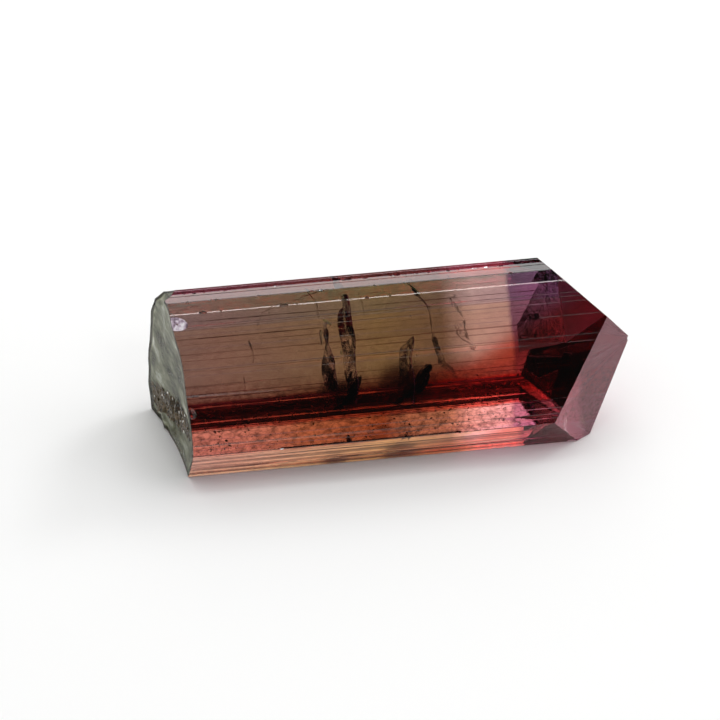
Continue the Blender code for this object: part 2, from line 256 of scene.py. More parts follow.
def zone_colour(tree):
    """Colour of the crystal's skin, by place along it and height up the main face."""
    place = object_place(tree)
    drift = clouds(tree, place, 420.0, 4.0, output="Color")
    drifted = worked_out_places(tree, "MULTIPLY_ADD", drift, (0.40 * MM, 0.35 * MM, 0.35 * MM), place)
    split = tree.nodes.new("ShaderNodeSeparateXYZ")
    tree.links.new(drifted, split.inputs["Vector"])
    along = split.outputs["X"]
    up = worked_out_places(tree, "DOT_PRODUCT", drifted, UP_SLOPE)
    # the zones lean a little towards the point at the back
    leaning = worked_out_places(tree, "DOT_PRODUCT", drifted, (1.0, -0.095, 0.055))
    shift = DRIFT_SHIFT + ZONE_LEAN
    zone = ranged(tree, leaning, (CRYSTAL_LEFT + shift) * MM, (CRYSTAL_RIGHT + shift) * MM)
    # the orange core fades into the skin above the base
    fade = ranged(tree, up, drifted_up(2.9), drifted_up(5.3), smooth=True)
    low = ranged(tree, up, drifted_up(0.95), drifted_up(1.15), smooth=True)
    under = worked_out(tree, "SUBTRACT", 1.0, low)
    share = worked_out(tree, "MAXIMUM", fade, under)
    colour = mixed(tree, share, toned(tree, zone, CORE_ZONES), toned(tree, zone, RIM_ZONES))
    # a dark seam between the two turns from brown to red towards the point; its red is the crystal's own
    # colour, and its darkness is painted shade of the shaded floor seen through the crystal
    seam = toned(tree, ranged(tree, up, drifted_up(1.65), drifted_up(4.65)), SEAM_SHADE_TONES, "EASE")
    colour = mixed(tree, 1.0, colour, seam, "MULTIPLY")
    in_seam = ranged(tree, seam, 1.0, 0.30)
    seam_end = ranged(tree, along, place_along(12.5), place_along(16.5))
    red_part = worked_out(tree, "MULTIPLY", in_seam, seam_end)
    colour = mixed(tree, red_part, colour, (2.2, 0.75, 0.65, 1.0), "MULTIPLY")
    # a red veil lies over the seam, and climbs towards the point
    veil_top = ranged(tree, along, place_along(6.0), place_along(17.0), drifted_up(3.75), drifted_up(5.35))
    veil_climb = ranged(tree, along, place_along(17.0), place_along(23.0), 0.0, 3.4 * MM)
    veil_edge = worked_out(tree, "ADD", veil_top, veil_climb)
    veil_depth = worked_out(tree, "SUBTRACT", veil_edge, up)
    veil_share = ranged(tree, veil_depth, -0.5 * MM, 1.0 * MM, smooth=True)
    above_band = ranged(tree, up, drifted_up(2.75), drifted_up(3.10))
    veil_part = worked_out(tree, "MULTIPLY", veil_share, above_band)
    colour = mixed(tree, veil_part, colour, (0.72, 0.18, 0.12, 1.0), "MULTIPLY")
    # two smoky patches lie where partings meet the seam
    flat_place = tree.nodes.new("ShaderNodeCombineXYZ")
    tree.links.new(along, flat_place.inputs["X"])
    tree.links.new(up, flat_place.inputs["Y"])
    for smoke_along, smoke_up, half_along, half_up in SMOKY_PATCHES:
        middle_of_smoke = (place_along(smoke_along + DRIFT_SHIFT), drifted_up(smoke_up), 0.0)
        centred = worked_out_places(tree, "SUBTRACT", flat_place.outputs["Vector"], middle_of_smoke)
        per_half = (1.0 / (half_along * MM), 1.0 / (half_up * MM), 0.0)
        radius = worked_out_places(tree, "LENGTH", worked_out_places(tree, "MULTIPLY", centred, per_half))
        smoke_share = ranged(tree, radius, 1.15, 0.45, smooth=True)
        colour = mixed(tree, smoke_share, colour, (0.10, 0.06, 0.05, 1.0), "MULTIPLY")
    crest_up = worked_out_places(tree, "DOT_PRODUCT", place, UP_SLOPE)
    crest_span = ranged(tree, crest_up, -UP_OFFSET * MM, (CREST_TOP - UP_OFFSET) * MM)
    colour = mixed(tree, 1.0, colour, toned(tree, crest_span, CREST_TONES), "MULTIPLY")
    # cloudy growth patches; the core is crumbly too, in small cells with darker walls
    cloud_place = mapped(tree, place, stretch=(1.0, 1.6, 1.6))
    growth = clouds(tree, cloud_place, 2300.0, 5.0, 0.6)
    cells = tree.nodes.new("ShaderNodeTexVoronoi")
    cells.feature = "DISTANCE_TO_EDGE"
    cells.inputs["Scale"].default_value = 1900.0
    tree.links.new(cloud_place, cells.inputs["Vector"])
    walls = ranged(tree, cells.outputs["Distance"], 0.0, 0.14, 0.42, 1.08)
    crumbly = worked_out(tree, "MULTIPLY", ranged(tree, growth, 0.38, 0.60, 0.30, 1.40), walls)
    uneven = mixed_value(tree, share, crumbly, ranged(tree, growth, 0.3, 0.7, 0.84, 1.10))
    # the skin is thin and clearer along the bevel under the core
    thin = mixed_value(tree, under, 1.0, 2.4)
    return worked_out_places(tree, "SCALE", colour, worked_out(tree, "MULTIPLY", thin, uneven))


def join_up(made):
    """Joins pieces into the first of them."""
    bpy.ops.object.select_all(action="DESELECT")
    for piece in made:
        piece.select_set(True)
    bpy.context.view_layer.objects.active = made[0]
    bpy.ops.object.join()
    return made[0]


def edge_nicks(rng):
    """Small ball-shaped cutters along the long edges, joined into one object."""
    edges = [
        ((8.92, 0.00), 0.4, 19.5, 9),
        ((9.58, 0.17), 0.4, 19.0, 12),
        ((10.02, 0.93), 0.2, 19.0, 26),
        ((10.29, 1.68), 0.2, 19.5, 12),
        ((1.10, 0.00), 0.9, 20.0, 9),
        ((0.00, 1.91), 0.9, 20.6, 9),
    ]
    made = []
    for (up, inward), first, last, count in edges:
        for _ in range(count):
            along = rng.uniform(first, last)
            size = rng.uniform(0.035, 0.105)
            bpy.ops.mesh.primitive_ico_sphere_add(subdivisions=1, radius=1.0)
            ball = bpy.context.object
            stretch = Matrix.Diagonal((
                size * rng.uniform(0.8, 2.6) * MM, size * MM, size * rng.uniform(0.7, 1.2) * MM, 1.0,
            ))
            turn = Matrix.Rotation(rng.uniform(-0.6, 0.6), 4, "X")
            ball.data.transform(Matrix.Translation(in_crystal(along, up, inward)) @ turn @ stretch)
            made.append(ball)
    cutter = join_up(made)
    cutter.name = "nick_cutter"
    return cutter


def merged_copy(name, mesh):
    """A copy of a mesh as a new piece, left in edit mode with its doubles merged."""
    piece = bpy.data.objects.new(name, mesh.copy())
    bpy.context.scene.collection.objects.link(piece)
    bpy.ops.object.select_all(action="DESELECT")
    piece.select_set(True)
    bpy.context.view_layer.objects.active = piece
    bpy.ops.object.mode_set(mode="EDIT")
    bpy.ops.mesh.select_all(action="SELECT")
    bpy.ops.mesh.remove_doubles(threshold=1e-7)
    return piece


def combine(piece, other, operation):
    """A Boolean of two pieces, worked out in millimetres so that small cuts stay exact."""
    for item in (piece, other):
        item.data.transform(Matrix.Diagonal((1.0 / MM, 1.0 / MM, 1.0 / MM, 1.0)))
        item.data.update()
    cut = piece.modifiers.new("cut", "BOOLEAN")
    cut.operation = operation
    cut.solver = "MANIFOLD"
    cut.material_mode = "TRANSFER"
    cut.object = other
    bpy.ops.object.select_all(action="DESELECT")
    piece.select_set(True)
    bpy.context.view_layer.objects.active = piece
    bpy.ops.object.modifier_apply(modifier="cut")
    for item in (piece, other):
        item.data.transform(Matrix.Diagonal((MM, MM, MM, 1.0)))
        item.data.update()


def keep_inside(piece):
    """Trims a piece to the inside of the crystal."""
    combine(piece, inner, "INTERSECT")


crystal = merged_copy("watermelon_tourmaline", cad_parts["tourmaline_crystal"].data)
bpy.ops.mesh.dissolve_limited(angle_limit=math.radians(0.3))
bpy.ops.object.mode_set(mode="OBJECT")

# the crystal's hull, a little smaller, trims what lies inside it
INSIDE = 0.985
inner = merged_copy("inside", crystal.data)
bpy.ops.mesh.convex_hull()
bpy.ops.object.mode_set(mode="OBJECT")
middle = (Vector(cad_box[0]) + Vector(cad_box[1])) / 2
inner.data.transform(
    Matrix.Translation(middle) @ Matrix.Diagonal((INSIDE, INSIDE, INSIDE, 1.0)) @ Matrix.Translation(-middle)
)

# two marker materials tell the faces of the nicks from the others after the cut
clear = bpy.data.materials.new("clear_side")
frosted = bpy.data.materials.new("frosted_nick")
crystal.data.materials.clear()
crystal.data.materials.append(clear)
for face in crystal.data.polygons:
    face.material_index = 0
nicks = edge_nicks(random.Random(11))
nicks.data.materials.append(frosted)
combine(crystal, nicks, "DIFFERENCE")
bpy.data.objects.remove(nicks)

# how much wear each face shows, or how much painted shade it takes; the material and the skins choose their
# finish by it
NO_WEAR = 0.0
POINT_WEAR = 0.03
# ledges, and less so shallow striae, are tinted darker: painted shade
SHADED_LEDGE = 0.12
SHALLOW_STRIA = 0.25
MATT_POINT = 0.35
BREAK_WEAR = 0.5
GRAINY_WEAR = 0.6
PEARLY_CHIP = 0.72
NICK_WEAR = 1.0
BREAK_LIMIT = -10.0
GRAINY_UP = 2.35
GRAINY_CLIMB = 0.30
GRAINY_HALF = 0.75
SIDE_TURNS = [-30.0, 30.0, 44.0, 90.0, 100.0, 120.0, 150.0, 180.0, 210.0, 270.0]
MAIN_FACE = Vector((0.0, -0.866, 0.5))


def side_angle(side, turn):
    return abs((turn - side + 180.0) % 360.0 - 180.0)


def nearest_side(normal):
    """The turn of the side that is nearest to a lengthwise slope, and how far off it is."""
    turn = math.degrees(math.atan2(normal.z, -normal.y))
    side = min(SIDE_TURNS, key=lambda side: side_angle(side, turn))
    return side, side_angle(side, turn)


def on_top_edge(place):
    """Whether a place lies on the bright edge along the top of the main face."""
    up, _ = up_inward(place)
    return 8.85 < up < 8.99


def in_grainy_patch(place):
    """Whether a place of the broken end lies in its band of brown grains."""
    up, inward = up_inward(place)
    centre = GRAINY_UP + GRAINY_CLIMB * inward
    return 0.6 < inward < 8.2 and abs(up - centre) < GRAINY_HALF + 0.25 * noise.noise(place * 1500.0)


def chip_wear(face):
    """The wear of a face in the pearly chip or the darker chip beside the break, or None. The darker chip
    takes the ledges' painted shade.
    """
    up, inward = up_inward(face.center)
    along = face.center.x / MM - PLACE_X
    if face.normal.x < -0.85 or not 0.010 < inward < 0.25:
        return None
    top_chip = ((along + 0.35) / 0.80) ** 2 + ((up - 8.42) / 0.48) ** 2 < 1.0
    low_chip = ((along - 0.06) / 0.33) ** 2 + ((up - 3.48) / 0.42) ** 2 < 1.0
    if face.normal.angle(MAIN_FACE) < math.radians(3.0) or not (top_chip or low_chip):
        return None
    return PEARLY_CHIP if top_chip else SHADED_LEDGE


wear_and_shade = crystal.data.attributes.new("wear_and_shade", "FLOAT", "FACE")
for face in crystal.data.polygons:
    wear = NO_WEAR
    lengthwise = abs(face.normal.x) < 0.1
    _, off_side = nearest_side(face.normal)
    if crystal.data.materials[face.material_index].name.startswith("frosted"):
        wear = NICK_WEAR
    elif chip_wear(face) is not None:
        wear = chip_wear(face)
    elif face.center.x < BREAK_LIMIT * MM and face.normal.x < -0.30:
        wear = GRAINY_WEAR if in_grainy_patch(face.center) else BREAK_WEAR
    elif face.normal.x > 0.4 and face.normal.y < -0.7:
        wear = MATT_POINT
    elif face.normal.x > 0.3:
        wear = POINT_WEAR
    elif lengthwise and off_side > 12.0:
        wear = SHADED_LEDGE
    elif lengthwise and off_side > 2.5 and not on_top_edge(face.center):
        wear = SHALLOW_STRIA
    wear_and_shade.data[face.index].value = wear
for face in crystal.data.polygons:
    face.material_index = 0
    face.use_smooth = False
crystal.data.materials.clear()

# most of the shallow striae, and all ledges along the seam, are too fine to catch the
# light; they shade as their side does
shading = [Vector(corner.vector) for corner in crystal.data.corner_normals]
sharp = crystal.data.attributes.new("sharp_edge", "BOOLEAN", "EDGE")
for item in sharp.data:
    item.value = True
for face in crystal.data.polygons:
    wear = wear_and_shade.data[face.index].value
    up, _ = up_inward(face.center)
    in_seam = 2.3 < up < 4.6 and abs(face.normal.x) < 0.1
    steep = in_seam and abs(wear - SHADED_LEDGE) < 0.01
    shallow = abs(wear - SHALLOW_STRIA) < 0.01 and (in_seam or math.sin(up * 41.0) < 0.80)
    if not (steep or shallow):
        continue
    side, _ = nearest_side(face.normal)
    face.use_smooth = True
    wear_and_shade.data[face.index].value = NO_WEAR
    for corner in face.loop_indices:
        shading[corner] = Vector((0.0, -math.cos(math.radians(side)), math.sin(math.radians(side))))
crystal.data.normals_split_custom_set(shading)

# clear, tinted by plain transmission at its skin and by absorption all through
material, tree, shader = new_material("tourmaline")
shader.inputs["IOR"].default_value = CRYSTAL_IOR
shader.inputs["Transmission Weight"].default_value = 1.0
absorption = tree.nodes.new("ShaderNodeVolumeAbsorption")
absorption.inputs["Color"].default_value = ABSORBED_COLOUR
absorption.inputs["Density"].default_value = ABSORBED_DENSITY
tree.links.new(absorption.outputs["Volume"], tree.nodes["Material Output"].inputs["Volume"])

place = object_place(tree)
wear = face_wear_and_shade(tree)
on_break = worked_out(tree, "COMPARE", wear, 0.55, 0.1)
on_nick = worked_out(tree, "GREATER_THAN", wear, 0.75)
# painted shade darkens the ledges and shallow striae; the grainy patch is darker with real dirt
wear_and_shade_tint = toned(tree, wear, [
    (0.0, (1.0, 1.0, 1.0)),
    (0.06, (0.30, 0.26, 0.25)),
    (0.19, (0.55, 0.50, 0.48)),
    (0.30, (1.8, 0.9, 1.3)),
    (0.45, (0.75, 1.25, 0.85)),
    (0.56, (0.22, 0.20, 0.16)),
    (0.70, (1.0, 1.0, 1.0)),
], "CONSTANT")
tree.links.new(mixed(tree, 1.0, zone_colour(tree), wear_and_shade_tint, "MULTIPLY"), shader.inputs["Base Color"])

# the broken end is glassy with rough, dirty patches; the low patch is roughest
patchy = ranged(tree, clouds(tree, place, 900.0, 6.0), 0.45, 0.70, 0.03, 0.45)
break_rough = worked_out(tree, "MULTIPLY", patchy, on_break)
nick_rough = worked_out(tree, "MULTIPLY_ADD", on_nick, 0.30, break_rough)
etched = toned(tree, wear, [
    (0.0, (0.0, 0.0, 0.0)),
    (0.19, (0.42, 0.42, 0.42)),
    (0.30, (0.34, 0.34, 0.34)),
    (0.45, (0.0, 0.0, 0.0)),
    (0.56, (0.40, 0.40, 0.40)),
    (0.70, (0.0, 0.0, 0.0)),
], "CONSTANT")
tree.links.new(worked_out(tree, "ADD", etched, nick_rough), shader.inputs["Roughness"])

# fine striae run the whole length; the break has ripples and hackle instead
striae = clouds(tree, mapped(tree, place, stretch=(0.012, 1.0, 1.0)), 4200.0, 3.0)
hackle = worked_out(tree, "MULTIPLY", clouds(tree, place, 2600.0, 5.0), 14.0)
bump = tree.nodes.new("ShaderNodeBump")
bump.inputs["Strength"].default_value = 1.0
bump.inputs["Distance"].default_value = 0.0035 * MM
tree.links.new(mixed_value(tree, on_break, striae, hackle), bump.inputs["Height"])
tree.links.new(bump.outputs["Normal"], shader.inputs["Normal"])
crystal.data.materials.append(material)
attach(crystal, "root")
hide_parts("tourmaline_crystal")

# --- Cracks --------------------------------------------------------------------------------
# Partings cross the crystal where it was strained. They healed with dark specks of the
# rock's iron, so they show as broken dark bands. Others are hair-thin curved lines.
PARTING_ROWS = 10
PARTING_OPENING = -0.19
PARTING_THICKNESS = 0.07
CRACK_COLUMNS = 40
CRACK_ROWS = 16
CRACK_THICKNESS = 0.012


def new_group(name, inputs, output, kind):
    """An empty node group, with its inputs and its one output."""
    group = bpy.data.node_groups.new(name, "ShaderNodeTree")
    for socket_name in inputs:
        group.interface.new_socket(name=socket_name, in_out="INPUT", socket_type=kind)
    group.interface.new_socket(name=output, in_out="OUTPUT", socket_type=kind)
    given = group.nodes.new("NodeGroupInput").outputs
    return group, given, group.nodes.new("NodeGroupOutput").inputs[output]


def placed_group(tree, group, **values):
    """A node group placed in a material with its own values."""
    placed = tree.nodes.new("ShaderNodeGroup")
    placed.node_tree = group
    for name, value in values.items():
        placed.inputs[name].default_value = value
    return placed.outputs[0]


# specks cover part of a sheet, drawn out inward and gathered in patches
speck_cover, given, covered = new_group(
    "speck_cover", ("Scale", "Bare", "Full", "Depth", "Most"), "Cover", "NodeSocketFloat",
)
drawing = speck_cover.nodes.new("ShaderNodeCombineXYZ")
drawing.inputs["X"].default_value = 0.6
drawing.inputs["Z"].default_value = 1.0
speck_cover.links.new(given["Depth"], drawing.inputs["Y"])
turned = mapped(speck_cover, object_place(speck_cover), turn=(math.radians(30.0), 0.0, 0.0))
drawn_out = mapped(speck_cover, turned, stretch=drawing.outputs["Vector"])
spots = clouds(speck_cover, drawn_out, given["Scale"], 5.0, 0.62)
cover = ranged(speck_cover, spots, given["Bare"], given["Full"], 0.0, given["Most"])
patch_scale = worked_out(speck_cover, "MULTIPLY", given["Scale"], 0.38)
gather = ranged(speck_cover, clouds(speck_cover, drawn_out, patch_scale, 1.0), 0.42, 0.54, 0.12)
speck_cover.links.new(worked_out(speck_cover, "MULTIPLY", cover, gather), covered)


def crack_material(name, colour, scale, bare, full, depth, most):
    material, tree, shader = new_material(name)
    shader.inputs["Base Color"].default_value = (*colour, 1.0)
    shader.inputs["Roughness"].default_value = 0.6
    shader.inputs["Specular IOR Level"].default_value = 0.1
    cover = placed_group(tree, speck_cover, Scale=scale, Bare=bare, Full=full, Depth=depth, Most=most)
    tree.links.new(cover, shader.inputs["Alpha"])
    return material


def finish_piece(piece, finish):
    piece.data.materials.clear()
    piece.data.materials.append(finish)
    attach(piece, "root")


def finish_sheet(sheet, finish, thickness):
    """Thickens a sheet, trims it to the inside of the crystal and gives it its material."""
    solid = sheet.modifiers.new("thickness", "SOLIDIFY")
    solid.thickness = thickness * MM
    solid.offset = 0.0
    bpy.ops.object.modifier_apply(modifier="thickness")
    keep_inside(sheet)
    finish_piece(sheet, finish)


def new_sheet(name, columns, rows, size):
    bpy.ops.object.select_all(action="DESELECT")
    bpy.ops.mesh.primitive_grid_add(x_subdivisions=columns, y_subdivisions=rows, size=size)
    sheet = bpy.context.object
    sheet.name = name
    return sheet


def crack_sheet(name, path, near, far, wander, finish, thickness=CRACK_THICKNESS):
    """A sheet that runs along a path on the main face, given as (along, up) in mm, and
    goes inward from near to far."""
    sheet = new_sheet(name, CRACK_COLUMNS, CRACK_ROWS, 2.0)
    lengths = [0.0]
    for first, second in zip(path, path[1:]):
        lengths.append(lengths[-1] + math.dist(first, second))
    for vertex in sheet.data.vertices:
        run = (vertex.co.x + 1.0) / 2.0 * lengths[-1]
        index = 0
        while index < len(path) - 2 and run > lengths[index + 1]:
            index += 1
        share = (run - lengths[index]) / (lengths[index + 1] - lengths[index])
        along = path[index][0] + (path[index + 1][0] - path[index][0]) * share
        up = path[index][1] + (path[index + 1][1] - path[index][1]) * share
        inward = near + (far - near) * (vertex.co.y + 1.0) / 2.0
        spot = Vector((along, up, inward))
        along += wander * noise.noise(spot * 0.9 + Vector((0.0, 0.0, len(name))))
        along += 0.35 * wander * noise.noise(spot * 2.7)
        up += 0.5 * wander * noise.noise(spot * 1.3 + Vector((7.0, 0.0, 0.0)))
        vertex.co = in_crystal(along, up, inward)
    finish_sheet(sheet, finish, thickness)


def parting_fill(name, along, low, high, depth, finish):
    """The dark filling of one of the crystal's partings. It lines both of its walls."""
    sheet = new_sheet(name, PARTING_ROWS, PARTING_ROWS, 1.0)
    for vertex in sheet.data.vertices:
        reach = vertex.co.y + 0.5
        inward = PARTING_OPENING + (depth - PARTING_OPENING) * reach
        half_height = (high - low) * (1.0 - 0.45 * reach * reach) / 2
        up = (low + high) / 2 + 2 * vertex.co.x * half_height
        wave = noise.noise(Vector((along, up, inward)) * 0.55)
        vertex.co = in_crystal(along + 0.45 * wave, up, inward)
    finish_sheet(sheet, finish, PARTING_THICKNESS)


dark_healed = crack_material("healed_parting", (0.030, 0.015, 0.009), 2100.0, 0.40, 0.60, 0.22, 0.74)
dark_mass = crack_material("dark_specks", (0.008, 0.004, 0.004), 1300.0, 0.30, 0.46, 0.5, 0.95)
hair_line = crack_material("hair_crack", (0.06, 0.035, 0.03), 1900.0, 0.25, 0.55, 0.5, 0.80)
faint_dust = crack_material("faint_dust", (0.10, 0.06, 0.04), 2600.0, 0.45, 0.62, 0.3, 0.30)
parting_fill("parting_1", 8.05, 3.9, 7.9, 3.4, dark_healed)
parting_fill("parting_2", 9.35, 3.2, 9.2, 6.4, dark_healed)
parting_fill("parting_3", 12.50, 2.8, 6.6, 5.6, dark_healed)
crack_sheet("dark_knot_1", [(9.7, 4.6), (9.0, 3.6), (8.0, 2.7)], 0.3, 2.6, 0.5, dark_mass)
crack_sheet("dark_knot_2", [(13.6, 4.9), (12.7, 3.7), (11.6, 2.9)], 0.3, 4.6, 0.6, dark_mass)
crack_sheet("dark_tail", [(7.6, 3.35), (7.2, 2.9), (6.85, 2.45)], 0.15, 0.9, 0.15, dark_mass)
crack_sheet("dark_step", [(7.9, 7.93), (8.7, 7.83), (9.4, 7.75)], 0.10, 0.75, 0.12, dark_healed)
crack_sheet("hair_arc_1", [(-0.2, 9.0), (0.25, 9.2), (1.1, 9.3)], 0.10, 0.9, 0.05, hair_line)
crack_sheet("hair_arc_2", [(4.15, 7.95), (4.5, 8.65), (5.65, 8.98)], 0.06, 0.7, 0.05, hair_line)
crack_sheet("hair_arc_3", [(7.05, 9.6), (7.5, 8.9), (7.6, 8.05)], 0.08, 0.9, 0.06, hair_line)
crack_sheet("hair_arc_4", [(9.9, 9.25), (10.05, 8.6), (10.1, 7.9)], 0.06, 0.6, 0.05, hair_line)
crack_sheet("hair_line_1", [(3.65, 7.2), (3.75, 6.5), (3.70, 5.9)], 0.06, 0.7, 0.08, hair_line)
crack_sheet("hair_line_2", [(3.15, 5.2), (3.20, 4.7), (3.10, 4.2)], 0.06, 0.7, 0.08, hair_line)
long_path = [(12.8, 9.4), (13.75, 8.1), (13.85, 7.0), (14.2, 5.0), (14.9, 4.2)]
crack_sheet("long_crack_1", long_path, 0.10, 1.6, 0.30, dark_healed)
crack_sheet("faint_crack", [(15.3, 8.6), (15.6, 7.0), (16.2, 5.6)], 0.3, 3.2, 0.5, faint_dust)

# --- Flecks ----------------------------------------------------------------------------------
# Tiny flat cavities just under the skin catch the light as bright specks; their pale
# colour is a painted glint. They crowd along the seam between the orange core and the
# brown skin, and grew as the seam did.


def small_balls(name, count):
    """Balls that are shaped one by one later. One is modelled and the others copy it."""
    bpy.ops.object.select_all(action="DESELECT")
    bpy.ops.mesh.primitive_ico_sphere_add(subdivisions=1, radius=1.0)
    made = [bpy.context.object]
    made[0].name = name
    for _ in range(count - 1):
        ball = bpy.data.objects.new("ball", made[0].data.copy())
        bpy.context.scene.collection.objects.link(ball)
        made.append(ball)
    return made


def flecks(name, count, seed, spans, sizes, finish):
    """Flat flecks spread over boxes given as two corners (along, up, inward) in mm."""
    rng = random.Random(seed)
    made = small_balls(name, count)
    for fleck in made:
        low, high = spans[rng.randrange(len(spans))]
        spot = [rng.uniform(a, b) for a, b in zip(low, high)]
        size = rng.uniform(*sizes)
        turn = Matrix.Rotation(rng.uniform(-1.2, 1.2), 4, "Y")
        turn = turn @ Matrix.Rotation(rng.uniform(-0.9, 0.9), 4, "X")
        shape = Matrix.Diagonal((size * rng.uniform(0.8, 2.4) * MM, size * 0.25 * MM, size * MM, 1.0))
        fleck.data.transform(Matrix.Translation(in_crystal(*spot)) @ turn @ shape)
    joined = join_up(made)
    keep_inside(joined)
    finish_piece(joined, finish)


# a colour that is darker in small patches
uneven_tone, given, tone_out = new_group("uneven_tone", ("Colour",), "Tone", "NodeSocketColor")
shade = ranged(uneven_tone, clouds(uneven_tone, object_place(uneven_tone), 2500.0), 0.35, 0.65, 0.35)
uneven_tone.links.new(worked_out_places(uneven_tone, "SCALE", given["Colour"], shade), tone_out)


def fleck_material(name, colour):
    material, tree, shader = new_material(name)
    shader.inputs["Roughness"].default_value = 0.25
    tree.links.new(placed_group(tree, uneven_tone, Colour=(*colour, 1.0)), shader.inputs["Base Color"])
    return material


# the pale flecks and slivers carry painted glints
pale = fleck_material("cavity_glint", (1.0, 0.80, 0.74))
dark = fleck_material("dark_speck", (0.02, 0.01, 0.008))
SEAM_BOXES = [((0.6, 2.35, 0.05), (7.8, 3.9, 0.5)), ((14.2, 2.3, 0.05), (18.5, 3.6, 0.5))]
CORE_BOXES = [((0.8, 1.2, 0.05), (19.0, 2.5, 0.4))]
SPECK_BOXES = [((0.8, 1.2, 0.05), (19.0, 2.7, 0.6)), ((8.0, 2.3, 0.05), (19.0, 4.6, 1.0))]
SKIN_BOXES = [((0.6, 3.9, 0.05), (18.0, 8.7, 0.3))]
CREST_BOXES = [((0.4, 9.70, 1.0), (20.0, 9.95, 1.4)), ((0.4, 10.05, 1.75), (19.5, 10.2, 2.4))]
flecks("seam_flecks", 80, 3, SEAM_BOXES, (0.02, 0.07), pale)
flecks("core_flecks", 60, 4, CORE_BOXES, (0.02, 0.05), pale)
flecks("core_specks", 90, 5, SPECK_BOXES, (0.02, 0.07), dark)
flecks("skin_flecks", 40, 6, SKIN_BOXES, (0.012, 0.035), pale)
flecks("crest_flecks", 60, 7, CREST_BOXES, (0.02, 0.05), pale)

# where two partings open at the surface, slivers of air flash white; these thin pale sheets are painted
# glints
crack_sheet("glint_1", [(7.80, 7.95), (8.05, 7.85), (8.28, 7.62)], 0.08, 0.60, 0.10, pale, 0.09)
crack_sheet("glint_2", [(7.62, 7.40), (7.60, 7.00), (7.63, 6.60)], 0.08, 0.45, 0.10, pale, 0.05)
crack_sheet("glint_3", [(12.70, 9.45), (12.95, 9.20), (13.28, 8.86)], 0.25, 0.70, 0.10, pale, 0.05)
crack_sheet("glint_4", [(8.96, 8.36), (9.02, 8.18)], 0.08, 0.45, 0.05, pale, 0.08)
crack_sheet("glint_5", [(8.60, 6.14), (8.62, 5.94)], 0.08, 0.45, 0.05, pale, 0.08)

# --- The film on the broken end -----------------------------------------------------------
# The break is etched and stained: a thin grey-green film, dark along the rim and brown
# where bed rock still clings. It formed after the crystal broke off its bed.
FILM_THICKNESS = 0.006
RIM_REACH = 0.34


def skin_of(name, first, last):
    """A copy of the crystal's faces whose wear lies between the two values."""
    bpy.ops.object.select_all(action="DESELECT")
    skin = bpy.data.objects.new(name, crystal.data.copy())
    bpy.context.scene.collection.objects.link(skin)
    skin.select_set(True)
    bpy.context.view_layer.objects.active = skin
    shape = bmesh.new()
    shape.from_mesh(skin.data)
    wear_layer = shape.faces.layers.float["wear_and_shade"]
    others = [face for face in shape.faces if not first < face[wear_layer] < last]
    bmesh.ops.delete(shape, geom=others, context="FACES")
    bmesh.ops.triangulate(shape, faces=shape.faces)
    shape.to_mesh(skin.data)
    shape.free()
    return skin


def keep_in_box(piece):
    """Pulls the few corners that stand out of the crystal's own box back to it."""
    low, high = cad_box
    for vertex in piece.data.vertices:
        for axis in range(3):
            vertex.co[axis] = min(max(vertex.co[axis], low[axis]), high[axis])
    piece.data.update()


def finish_skin(skin, finish):
    """Gives a skin its small thickness, outward, and its material."""
    solid = skin.modifiers.new("thickness", "SOLIDIFY")
    solid.thickness = FILM_THICKNESS * MM
    solid.offset = 1.0
    bpy.ops.object.modifier_apply(modifier="thickness")
    keep_in_box(skin)
    finish_piece(skin, finish)


film = skin_of("etched_skin", 0.45, 0.65)
bpy.ops.object.mode_set(mode="EDIT")
bpy.ops.mesh.select_all(action="SELECT")
bpy.ops.mesh.remove_doubles(threshold=1e-7)
bpy.ops.mesh.subdivide(number_cuts=2)
bpy.ops.object.mode_set(mode="OBJECT")
shape = bmesh.new()
shape.from_mesh(film.data)
rim_spots = [up_inward(vert.co) for vert in shape.verts if any(edge.is_boundary for edge in vert.link_edges)]
shape.free()
near_rim = film.data.attributes.new("near_rim", "FLOAT", "POINT")
for vertex in film.data.vertices:
    up, inward = up_inward(vertex.co)
    distance = min(math.hypot(up - rim_up, 0.25 * (inward - rim_in)) for rim_up, rim_in in rim_spots)
    near_rim.data[vertex.index].value = max(0.0, 1.0 - distance / RIM_REACH)

etched_film, tree, shader = new_material("etched_skin")
shader.inputs["Roughness"].default_value = 0.45
shader.inputs["Specular IOR Level"].default_value = 0.25
streaks = clouds(tree, mapped(tree, object_place(tree), stretch=(1.0, 0.24, 0.8)), 1250.0, 6.0, 0.65)
# grey-green streaks, with painted highlights in the palest of them
film_tone_and_highlight = toned(tree, streaks, [
    (0.34, (0.035, 0.033, 0.022)),
    (0.44, (0.15, 0.155, 0.105)),
    (0.56, (0.24, 0.25, 0.17)),
    (0.63, (0.46, 0.47, 0.40)),
])
rim_share = tree.nodes.new("ShaderNodeAttribute")
rim_share.attribute_name = "near_rim"
ragged = worked_out(tree, "MULTIPLY_ADD", streaks, 0.9, -0.45)
rim_tone = toned(tree, worked_out(tree, "ADD", ragged, rim_share.outputs["Fac"]), [
    (0.36, (1.0, 1.0, 1.0)),
    (0.50, (1.6, 1.6, 1.6)),
    (0.60, (1.4, 1.4, 1.4)),
    (0.68, (0.22, 0.20, 0.16)),
])
rimmed = mixed(tree, 1.0, film_tone_and_highlight, rim_tone, "MULTIPLY")
on_patch = worked_out(tree, "GREATER_THAN", face_wear_and_shade(tree), 0.55)
browned = mixed(tree, on_patch, rimmed, (0.50, 0.36, 0.27, 1.0), "MULTIPLY")
tree.links.new(browned, shader.inputs["Base Color"])
tree.links.new(ranged(tree, streaks, 0.35, 0.55, 0.55, 0.92), shader.inputs["Alpha"])
finish_skin(film, etched_film)

